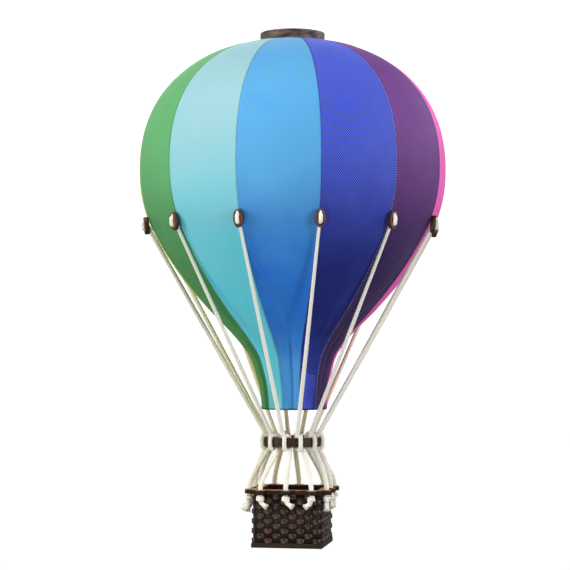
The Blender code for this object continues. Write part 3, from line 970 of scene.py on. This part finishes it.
# Tone of each cord's cotton and its thickness below its button, from the first, left of the green gore.
# The tones paint light and shade: the cords on the left are darker, as painted shade, and the rear
# ones warmer, as painted light bounced from the red and orange cloth
cordPaintedToneAndThickness = [
    ((0.88, 0.85, 0.74), 1.12), ((1.0, 0.99, 0.93), 0.84), ((1.0, 1.0, 0.96), 0.82),
    ((1.0, 1.0, 0.98), 0.82), ((1.0, 1.0, 0.99), 0.84), ((1.0, 0.99, 0.97), 1.1),
    ((0.98, 0.97, 0.92), 1.15), ((0.96, 0.94, 0.87), 1.0), ((0.88, 0.80, 0.62), 0.9),
    ((0.90, 0.80, 0.60), 0.9), ((0.97, 0.93, 0.81), 1.1), ((0.91, 0.87, 0.76), 1.2),
]

# Where each tail ends, from its knot: right, back and up, in millimetres, and how thick it gets
tailEnds = [
    (-2.0, -1.0, -5.6, 2.3), (3.4, -0.5, -3.0, 1.25), (3.6, -0.6, -2.8, 1.25), (-3.3, -0.6, -2.9, 1.3),
    (0.2, -0.8, -4.8, 1.45), (0.4, -1.0, -4.6, 1.6), (-1.6, -0.6, -5.6, 2.0), (-3.2, 0.6, -3.0, 1.25),
    (3.3, 0.7, -2.9, 1.25), (-3.2, 0.8, -3.2, 1.25), (-2.8, 0.8, -4.6, 1.6), (-4.3, -1.6, -5.2, 2.1),
]


def throughButton():  # (radius, z, thickness) through the two holes and over the face
    middle, outward, downward = buttonMiddle()
    squeezed, gap = cordSizes["squeezed"], balloon["gap"]
    backBend = balloon["cordRadius"] * squeezed + gap
    bendOut, bendDown = cordSizes["loopOut"], cordSizes["loopDown"]
    nearEdge = buttonSizes["holeOffset"] - buttonSizes["holeRadius"]
    farEdge = buttonSizes["holeOffset"] + buttonSizes["holeRadius"]
    face = buttonSizes["thickness"] - 0.5 * buttonSizes["dish"]
    halfWay = math.sqrt(0.5)
    loop = [
        (face, nearEdge + bendDown, 0.94),
        (face + halfWay * bendOut, nearEdge + halfWay * bendDown, 0.5 + 0.5 * cordSizes["loop"]),
        (face + bendOut, nearEdge, cordSizes["loop"]),
    ]
    steps = [
        (gap, -buttonSizes["holeOffset"], squeezed),
        *((out, -down, size) for out, down, size in loop),
        *reversed(loop),
        (0, farEdge - backBend, squeezed),
        (-halfWay * backBend, farEdge - halfWay * backBend, squeezed),
        (-backBend, farEdge, squeezed),
    ]
    return [(*(middle + outward * out + downward * down), size) for out, down, size in steps]


def pastButton():  # where the cord leaves the button's back, from there taut to the ring
    middle, outward, downward = buttonMiddle()
    away = balloon["cordRadius"] + balloon["gap"]
    return middle - outward * away + downward * (buttonSizes["length"] / 2 + 1.0 * mm)


def roundRing():  # (radius, z, way to the side) once round the ring, pressed to it
    off, cut = balloon["cordRadius"], cordSizes["ringCorner"]
    inner = balloon["ringRadius"] - balloon["ringWidth"] - off
    outer = balloon["ringRadius"] + off
    high = balloon["ringHeight"] / 2 + off
    route = [
        (inner + 3.65 * mm, high + 1.95 * mm, -1), (inner + 0.3 * mm, high - 0.7 * mm, -1), (inner, 0, -1),
        (inner, cut - high, -0.9), (inner + cut, -high, -0.7), (outer - cut, -high, 0),
        (outer + 0.05 * mm, cut - high, 0), (outer + 0.35 * mm, 0, 0), (outer + 0.05 * mm, high - cut, 0),
        (outer - cut, high, 0), (inner + cut, high, 0.7), (inner, high - cut, 1), (inner, cut - high, 1.15),
        (inner + 0.4 * mm, 0.45 * mm - high, 1.3), (inner + 2.1 * mm, -0.9 * mm - high, 1.6),
    ]
    return [(r, balloon["ringZ"] + z, share * cordSizes["wrapStep"]) for r, z, share in route]


def rimHoles():
    places = []
    for index in range(balloon["gores"]):
        angle = seamAngle(index) + cordSizes["ringTurn"]
        side = round(angle / 90)
        along = round((angle - 90 * side) / 30) * cordSizes["holeSpacing"]
        turn = Matrix.Rotation(math.radians(90 * side), 3, "Z")
        places.append(turn @ Vector((along, -cordSizes["holeReach"], 0)))
    return places


def knotRoute(hole, tail, thick):
    # Down past the plate, one and a half turns up round itself, and out again as the tail
    base = Vector((hole.x, hole.y, balloon["rimZ"] - balloon["ply"] - balloon["gap"]))
    sideways = Vector((tail.x, tail.y, 0)).normalized()
    across = Vector((-sideways.y, sideways.x, 0))
    core = across * cordSizes["knotCore"]
    thin, count = cordSizes["knotThickness"], cordSizes["knotPoints"]

    def beside(offset, z):  # z in millimetres, from the plate's underside
        return base + offset + Vector((0, 0, z * mm))

    route = [
        (beside(core * 0, 1.4), 1.12), (beside(core * 0.5, -0.2), 1.0),
        (beside(core, -1.6), thin), (beside(core, -2.8), thin),
    ]
    for k in range(count + 1):
        turn = math.tau * (0.2 + cordSizes["knotTurns"] * k / count)
        out = (across * math.cos(turn) + sideways * math.sin(turn)) * cordSizes["knotRadius"]
        route.append((beside(out, -3.3 + 2.2 * k / count), thin * 1.06))
    start = base - core * 0.4 - Vector((0, 0, cordSizes["tailStart"]))
    return route + [
        (beside(core * -0.6, -1.3), thin), (beside(core * -1, -2.6), thin),
        (start + tail * 0.05, 1.0),
        (start + tail * 0.4 - Vector((0, 0, 0.3 * mm)), 0.4 + 0.6 * thick),
        (start + tail * 0.75, 0.2 + 0.8 * thick),
        (start + tail, thick),
    ]


def downToBasket(start, hole):
    end = Vector((hole.x, hole.y, balloon["rimZ"]))
    outward = Vector((start.x, start.y, 0)).normalized()
    leaving = (outward * 0.75 + Vector((0, 0, -1))) * 22 * mm
    arriving = Vector((0, 0, -1)) * 18 * mm
    return [(hermite(t, start, leaving, end, arriving), cordSizes["lower"]) for t in (0.18, 0.4, 0.62, 0.84)]


def cordRoute(index, hole):
    seam = seamAngle(index)
    wrap = seam + cordSizes["ringTurn"]
    sideways = around(wrap + 90, 1, 0)
    first, *turn, last = [around(wrap, r, z) + sideways * side for r, z, side in roundRing()]
    upper = [*throughButton(), (*pastButton(), cordPaintedToneAndThickness[index][1])]
    *tail, thick = tailEnds[index]
    return [
        *((around(seam, r, z), size) for r, z, size in upper),
        (first, cordSizes["aboveRing"]),
        *((point, cordSizes["wrap"]) for point in turn),
        (last, cordSizes["lower"]),
        *downToBasket(last, hole),
        *knotRoute(hole, Vector(tail) * mm, thick),
    ]


def smoothRoute(route, step):
    # One smooth curve through the route's points: Catmull-Rom, thickness included
    rows = [(*place, size * mm) for place, size in route]
    padded = [rows[0], *rows, rows[-1]]
    points = []
    for a, b, c, d in zip(padded, padded[1:], padded[2:], padded[3:]):
        count = max(2, math.ceil((Vector(c[:3]) - Vector(b[:3])).length / step))
        for k in range(count):
            t = k / count
            points.append([
                0.5 * (
                    2 * q + (r - p) * t + (2 * p - 5 * q + 4 * r - s) * t**2 + (3 * q - p - 3 * r + s) * t**3
                )
                for p, q, r, s in zip(a, b, c, d)
            ])
    return points + [rows[-1]]


def strandTree(material):
    tree, given = newTree("twistedCord", {**strands, "Cotton": material})
    curve = add(tree, "MeshToCurve", {"Mesh": given["Geometry"]})
    fine = add(tree, "ResampleCurve", {"Curve": curve, "Length": given["Step"]}, mode="LENGTH")
    thick = attribute(tree, "thickness")
    normal = add(tree, "InputNormal")
    across = vectorMath("CROSS_PRODUCT", add(tree, "InputTangent"), normal)
    length = add(tree, "SplineParameter")["Length"]
    turns = length / given["Pitch"]
    reach = given["Strand Offset"] * thick
    tubes = []
    for strand in range(strandCount):
        angle = turns * math.tau + strand * math.tau / strandCount
        first = scaled(normal, angle.math("COSINE") * reach)
        second = scaled(across, angle.math("SINE") * reach)
        # The way along and the turn round the strand are kept for the fibres of its material
        route = captured(moved(fine, vectorMath("ADD", first, second)), "along", length, "FLOAT")
        section = {"Resolution": given["Section Points"], "Radius": given["Strand Radius"]}
        circle = add(tree, "CurvePrimitiveCircle", section)
        rim = captured(circle, "section", add(tree, "InputPosition"), "VECTOR")
        tube = add(tree, "CurveToMesh", {
            "Curve": route, "Profile Curve": rim, "Scale": thick, "Fill Caps": True,
        })
        x, y, _ = split(rim["section"])
        way = route["along"] * fibreMap["along"] + strand * fibreMap["shift"]
        pattern = combine(way, x * fibreMap["round"], y * fibreMap["round"])
        tubes.append(stored(tube, "cordMap", pattern, "FLOAT_VECTOR"))
    return endTree(add(tree, "JoinGeometry", {0: tubes}), given["Cotton"])


def makeCords(material):
    tree = strandTree(material)
    lengths, ends = [], []
    for index, hole in enumerate(rimHoles()):
        points = smoothRoute(cordRoute(index, hole), cordSizes["routeStep"])
        places = [Vector(p[:3]) for p in points]
        mesh = lineMesh(f"cotton_cord_{index + 1:02d}", places)
        store(mesh, "thickness", [p[3] / mm for p in points])
        cord = grow(mesh, tree, {**strands, "Cotton": material})
        tint(cord.data, "cordToneAndPaintedLight", cordPaintedToneAndThickness[index][0])
        finishPiece(cord, "cotton_cord", f"cord_{index + 1:02d}")
        lengths.append(lengthOf(places))
        ends.append((places[-1], (places[-1] - places[-4]).normalized(), tailEnds[index][3]))
    print(f"Twelve cords, {sum(lengths) / len(lengths) / mm:.0f} mm each")
    return ends


# Frayed ends: a tuft of fibres at the end of each strand

fray = {
    "Fibres": 40,
    "Fibre Length": 2.2 * mm,
    "Fibre Radius": 0.17 * mm,
    "Tilt": 0.36,  # radians, the widest
    "Foot": 0.62 * mm,  # radius of the strand end that the fibres leave
    "Seed": 4,
}
tuftSizes = {
    "apart": 0.55 * mm,  # from the cord's middle line
    "sunk": 0.9 * mm,
    "turn": 0.4,
    "splay": 0.28,
    "broadness": 0.8,
    "tone": (1.0, 0.99, 0.94),
}


def frayTree(material):
    tree, given = newTree("frayedEnds", {**fray, "Cotton": material})

    def randomValue(offset, low, high):
        seed = {"Seed": given["Seed"] + offset}
        if isinstance(low, tuple):
            return add(tree, "RandomValue", {**seed, 0: low, 1: high}, data_type="FLOAT_VECTOR")
        return add(tree, "RandomValue", {**seed, 2: low, 3: high}, data_type="FLOAT")[1]

    def rotation(x, y, z):
        return add(tree, "EulerToRotation", {0: combine(x, y, z)})

    bend = {"Resolution": 4, "Start": (0, 0, 0), "Middle": (0, 0, 0.6), "End": (0.22, 0, 1.0)}
    section = {"Resolution": 3, "Radius": given["Fibre Radius"] / given["Fibre Length"]}
    fibre = add(tree, "CurveToMesh", {
        "Curve": add(tree, "CurveQuadraticBezier", bend),
        "Profile Curve": add(tree, "CurvePrimitiveCircle", section), "Fill Caps": True,
    })
    foot = scaled(randomValue(1, (-1, -1, -0.5), (1, 1, 0.5)), given["Foot"])
    points = add(tree, "Points", {"Count": given["Fibres"], "Position": foot})
    spin = rotation(randomValue(2, 0.0, given["Tilt"]), 0.0, randomValue(3, 0.0, math.tau))
    size = scaled((1, 1, 1), given["Fibre Length"] * randomValue(4, 0.65, 1.1))
    tuft = instances(points, fibre, Rotation=spin, Scale=size)
    direction = attribute(tree, "direction", "FLOAT_VECTOR")
    along = add(tree, "AlignRotationToVector", {"Vector": direction}, axis="Z")
    roll = rotation(0.0, 0.0, randomValue(5, 0.0, math.tau))
    facing = add(tree, "RotateRotation", {"Rotation": along, "Rotate By": roll}, rotation_space="LOCAL")
    broad = attribute(tree, "broadness")
    placed = instances(given["Geometry"], tuft, Rotation=facing, Scale=combine(broad, broad, 1.0))
    return endTree(placed, given["Cotton"])


def makeFrayedEnds(ends, material):
    points, directions, broadness = [], [], []
    for place, direction, thick in ends:
        side = direction.cross(Vector((0.3, 0.2, 1))).normalized()
        for strand in range(strandCount):
            out = Matrix.Rotation(math.tau * strand / strandCount + tuftSizes["turn"], 3, direction) @ side
            points.append(place + out * tuftSizes["apart"] * thick - direction * tuftSizes["sunk"])
            directions += list((direction + out * tuftSizes["splay"] / thick).normalized())
            broadness.append(tuftSizes["broadness"] * thick)
    mesh = meshFrom("frayed_ends", points)
    store(mesh, "direction", directions, "FLOAT_VECTOR")
    store(mesh, "broadness", broadness)
    tufts = grow(mesh, frayTree(material), {**fray, "Cotton": material})
    tint(tufts.data, "cordToneAndPaintedLight", tuftSizes["tone"])
    finishPiece(tufts, "cotton_cord")
    print("Cord ends frayed")


# Basket: woven walls between a plywood rim and a plywood floor

weave = {
    "Half Side": 21.3 * mm,  # middle line of the wall
    "Corner": 1.9 * mm,
    "Stakes": 32,
    "Stake Points": 16,  # along a weaver, from one stake to the next
    "Stake Radius": 0.5 * mm,
    "Rows": 5,  # of each of the two kinds
    "Row Pitch": 3.1 * mm,
    "Bulge": 1.1 * mm,
    "Rod Depth": 0.62 * mm,
    "Rod Height": 1.62 * mm,
    "Rod Rounding": 0.36 * mm,
    "Squareness": 3.6,  # a weaver lies flat over a stake and turns in steeply beside it
    "Bias": 0.3,  # and the part that turns in is the longer one
    "Core Depth": 0.3 * mm,  # closes the view between the weavers, a dark sheet as painted shade in the gaps
    "Core Painted Shade": -0.45,  # how far in the core counts as, from -1 to 1, for its painted shade
    "Unevenness": 0.3 * mm,
    "Unevenness Scale": 210.0,
    "Seed": 11,
}


def wickerMaterial():
    material, tree = newMaterial("wicker", (0.03, 0.017, 0.013), 0.45)
    place = add(tree, "TexCoord")["Object"]
    fibres = noiseAt(stretched(place, (90, 90, 1500)), 1.0, 5.0, 0.6)
    patches = spread(noiseAt(place, 190.0, 2.0), 0.35, 0.65)
    # Painted shade: near black where the weavers turn in behind the stakes, and on the core between them
    shadedRecess = spread(painted(tree, "weaveOut"), -0.9, 0.6, 0.95, 0.0)
    stain = mixColour(patches, (0.014, 0.008, 0.005), (0.060, 0.026, 0.017))
    stain = mixColour(spread(fibres, 0.48, 0.78, 0.0, 0.7), stain, (0.115, 0.060, 0.036))
    return shade(material, {
        "Base Color": mixColour(shadedRecess, stain, (0.002, 0.001, 0.0008)),
        "Roughness": shadedRecess * 0.6 + spread(fibres, 0.3, 0.7, 0.17, 0.36),
        "Normal": bumpFrom(fibres, 0.3, 0.08 * mm), "Specular IOR Level": 0.3,
    })


def weaveTree(material):
    tree, given = newTree("wovenWall", {**weave, "Wicker": material})
    side, pitch = given["Half Side"] * 2.0, given["Row Pitch"]
    rounded = roundedBox(tree, side, side, 6, given["Corner"])
    level = upright(resampled(rounded, given["Stakes"] * given["Stake Points"]))
    factor = add(tree, "SplineParameter")["Factor"]
    beats = given["Stakes"] * math.pi
    outward = add(tree, "InputNormal")
    rod = roundedBox(tree, given["Rod Depth"] * 2.0, given["Rod Height"] * 2.0, 2, given["Rod Rounding"])
    middle = -balloon["ply"] / 2 + (balloon["rimZ"] + balloon["floorZ"] + balloon["ply"]) / 2
    pieces = []
    for parity in range(2):
        beat = (factor * beats + parity * math.pi).math("COSINE") - given["Bias"]
        wave = (beat * given["Squareness"]).math("TANH")
        wavy = stored(moved(level, scaled(outward, wave * given["Bulge"])), "weaveOut", wave)
        weaver = add(tree, "CurveToMesh", {"Curve": wavy, "Profile Curve": rod})
        # Rows of this kind, two pitches apart
        first = pitch * parity + (middle - (given["Rows"] - 0.5) * pitch)
        rows = add(tree, "MeshLine", {
            "Count": given["Rows"], "Start Location": combine(0.0, 0.0, first),
            "Offset": combine(0.0, 0.0, pitch * 2.0),
        }, mode="OFFSET", count_mode="TOTAL")
        pieces.append(instances(rows, weaver))
    # Stakes stand where the weavers swing furthest
    height = given["Rows"] * 2.0 * pitch
    spots = add(tree, "CurveToPoints", {"Curve": resampled(rounded, given["Stakes"])}, mode="EVALUATED")
    stake = add(tree, "MeshCylinder", {"Vertices": 8, "Radius": given["Stake Radius"], "Depth": height})
    place = {"Translation": (0, 0, middle)}
    lifted, raised = (add(tree, "Transform", {"Geometry": shape, **place}) for shape in (stake, rounded))
    pieces.append(instances(spots, lifted))
    # A thin dark core behind the weavers, standing in for the shade seen through the gaps
    thin = add(tree, "CurvePrimitiveQuadrilateral", {"Width": given["Core Depth"], "Height": height})
    core = add(tree, "CurveToMesh", {"Curve": upright(raised), "Profile Curve": thin})
    pieces.append(stored(core, "weaveOut", given["Core Painted Shade"]))
    # Hand weaving is never quite even
    real = add(tree, "RealizeInstances", {"Geometry": add(tree, "JoinGeometry", {0: pieces})})
    drift = add(tree, "TexNoise", {
        "Vector": add(tree, "InputPosition"), "W": given["Seed"] * 1.7, "Detail": 1.0,
        "Scale": given["Unevenness Scale"],
    }, noise_dimensions="4D")
    centred = vectorMath("SUBTRACT", drift[1], (0.5, 0.5, 0.5))
    return endTree(moved(real, scaled(centred, given["Unevenness"])), given["Wicker"])


def makeWovenWalls():
    material = wickerMaterial()
    seed = meshFrom("woven_walls", [(0, 0, 0)])
    walls = grow(seed, weaveTree(material), {**weave, "Wicker": material})
    finishPiece(walls, "wicker", "basket_front", "basket_right", "basket_back", "basket_left")
    print(f"Basket woven: {len(walls.data.polygons)} faces")


plates = {
    "half": 22.8 * mm,
    "opening": 19.3 * mm,
    "earRadius": 3.0 * mm,
    "edge": 0.3 * mm,
    "bareFrom": -0.4 * mm,  # below the rim's top, the sawn edge shows bare wood
    "earPoints": 14,
    "holePoints": 20,
    "sharpFrom": 40,
}


def rimOutline():  # anticlockwise, with three rounded ears on each side
    half, radius, count = plates["half"], plates["earRadius"], plates["earPoints"]
    outline = []
    for side in range(4):
        edge = [(-half, -half)]
        for along in (-cordSizes["holeSpacing"], 0, cordSizes["holeSpacing"]):
            edge.append((along - radius, -half))
            for k in range(count + 1):
                t = math.pi * (1 + k / count)
                edge.append((along + radius * math.cos(t), -cordSizes["holeReach"] + radius * math.sin(t)))
            edge.append((along + radius, -half))
        turn = Matrix.Rotation(math.radians(90 * side), 2)
        outline += [tuple(turn @ Vector(point)) for point in edge]
    return outline


def plateMesh(name, outlines):
    # A flat plate cut along closed outlines, its edges a little rounded
    curve = bpy.data.curves.new(name + "_curve", "CURVE")
    curve.dimensions = "2D"
    curve.fill_mode = "BOTH"
    curve.extrude = balloon["ply"] / 2 - plates["edge"]
    curve.bevel_depth = plates["edge"]
    curve.bevel_resolution = 2
    curve.offset = -plates["edge"]
    for outline in outlines:
        spline = curve.splines.new("POLY")
        spline.points.add(len(outline) - 1)
        spline.use_cyclic_u = True
        for point, (x, y) in zip(spline.points, outline):
            point.co = (x, y, 0, 1)
    flat = newObject(curve)
    mesh = evaluated(flat)
    bpy.data.objects.remove(flat, do_unlink=True)
    outwardNormals(mesh)
    mesh.name = name
    return mesh


def makePlate(name, outlines, middleZ, materials, slotName, node):
    mesh = plateMesh(name, outlines)
    mesh.transform(Matrix.Translation((0, 0, middleZ)))
    plate = newObject(mesh, *materials)
    # The broad faces take the first material and the sawn edges the second
    for face in mesh.polygons:
        face.material_index = 0 if abs(face.normal.z) > 0.9 else 1
    smoothShade(mesh, plates["sharpFrom"])
    finishPiece(plate, slotName, node)


def makeRim():
    top, count = balloon["rimZ"], plates["holePoints"]
    radius = balloon["cordRadius"] + balloon["gap"]
    turns = [math.tau * k / count for k in range(count)]
    holes = [
        [(hole.x + radius * math.cos(t), hole.y + radius * math.sin(t)) for t in turns] for hole in rimHoles()
    ]
    stained = [woodMaterial("rimFace"), woodMaterial("rimEdge", top + plates["bareFrom"])]
    outlines = [rimOutline(), squareOf(plates["opening"]), *holes]
    makePlate("plywood_rim", outlines, top - balloon["ply"] / 2, stained, "rim_wood", "rim_plate")
    print("Rim cut")


def makeFloorPlate():
    stained = [woodMaterial("floorFace"), woodMaterial("floorEdge")]
    middle = balloon["floorZ"] + balloon["ply"] / 2
    makePlate("plywood_floor", [squareOf(plates["half"])], middle, stained, "floor_wood", "basket_floor")
    print("Floor cut")


# Studio: camera, light, floor

studio = {
    "azimuth": 10.0,
    "distance": 1.15,
    "cameraZ": -196 * mm,
    "lens": 112.4,
    "sensor": 36,
    "nearest": 0.01,
    "furthest": 200,
    "shiftX": -0.0132,
    "shiftY": 0.0912,
    "aimZ": -160 * mm,  # of the lamps
    "floorZ": -1.8,
    "floorGlow": 0.7,
    "backdropRadius": 30.0,
    "sky": 0.34,
    "ground": 0.20,
    "horizon": (-0.2, 0.3),  # where the ground's light ends and the sky's begins
}

# Name, angle from the front, elevation, distance, size, watts
lamps = [
    ("side", -62, 5, 1.8, 0.9, 15.0),
    ("key", -15, 62, 1.8, 0.6, 18.5),
    ("low", -22, -25, 1.8, 1.2, 9.0),
    ("fill", 62, 3, 1.8, 1.0, 14.5),
    ("rim", 118, 20, 1.8, 1.0, 10.7),
    ("back", 200, 30, 1.8, 1.0, 6.5),
]


def makeCamera():
    data = bpy.data.cameras.new("camera")
    data.lens = studio["lens"]
    data.sensor_width = studio["sensor"]
    data.shift_x = studio["shiftX"]
    data.shift_y = studio["shiftY"]
    data.clip_start = studio["nearest"]
    data.clip_end = studio["furthest"]
    camera = newObject(data)
    camera.location = around(studio["azimuth"], studio["distance"], studio["cameraZ"])
    camera.rotation_euler = (math.pi / 2, 0, math.radians(studio["azimuth"]))
    bpy.context.scene.camera = camera


def makeWorld():  # soft light from above, less from below
    world = bpy.data.worlds.new("studio")
    world.use_nodes = True
    height = split(add(world.node_tree, "TexCoord")["Generated"])[2]
    level = spread(height, *studio["horizon"], studio["ground"], studio["sky"])
    feed(world.node_tree.nodes["Background"], {"Color": level})
    bpy.context.scene.world = world


def addLamp(name, angle, elevation, distance, size, power):
    data = bpy.data.lights.new(name, "AREA")
    data.shape = "DISK"
    data.size = size
    data.energy = power
    lamp = newObject(data)
    level = math.radians(elevation)
    aim = Vector((0, 0, studio["aimZ"]))
    lamp.location = aim + around(angle, distance * math.cos(level), distance * math.sin(level))
    lamp.rotation_euler = (lamp.location - aim).to_track_quat("Z", "Y").to_euler()


def addStage(mesh, strength):
    # The stage is seen white, but neither lights the balloon nor shades it
    material = newMaterial(mesh.name, (0.93, 0.93, 0.93), 0.9)[0]
    shade(material, {"Emission Color": (1, 1, 1, 1), "Emission Strength": strength})
    stage = newObject(mesh, material)
    for kind in ("diffuse", "glossy", "transmission", "shadow"):
        setattr(stage, "visible_" + kind, False)


def makeStudio():
    makeCamera()
    makeWorld()
    for lamp in lamps:
        addLamp(*lamp)
    reach = studio["backdropRadius"]
    corners = [(x, y, studio["floorZ"]) for x, y in squareOf(reach)]
    addStage(meshFrom("paleFloor", corners, [(0, 1, 2, 3)]), studio["floorGlow"])
    bm = bmesh.new()
    bmesh.ops.create_icosphere(bm, subdivisions=4, radius=reach)
    bmesh.ops.reverse_faces(bm, faces=bm.faces)
    dome = bpy.data.meshes.new("whiteBackdrop")
    bm.to_mesh(dome)
    bm.free()
    addStage(dome, 1.0)
    bpy.context.scene.view_settings.view_transform = "Standard"
    print("Studio set")


makeStudio()
makeGores()
makeStitches()
makeCap()
makeRing()
makeButtons()
cotton = cottonMaterial()
cordEnds = makeCords(cotton)
makeFrayedEnds(cordEnds, cotton)
makeWovenWalls()
makeRim()
makeFloorPlate()
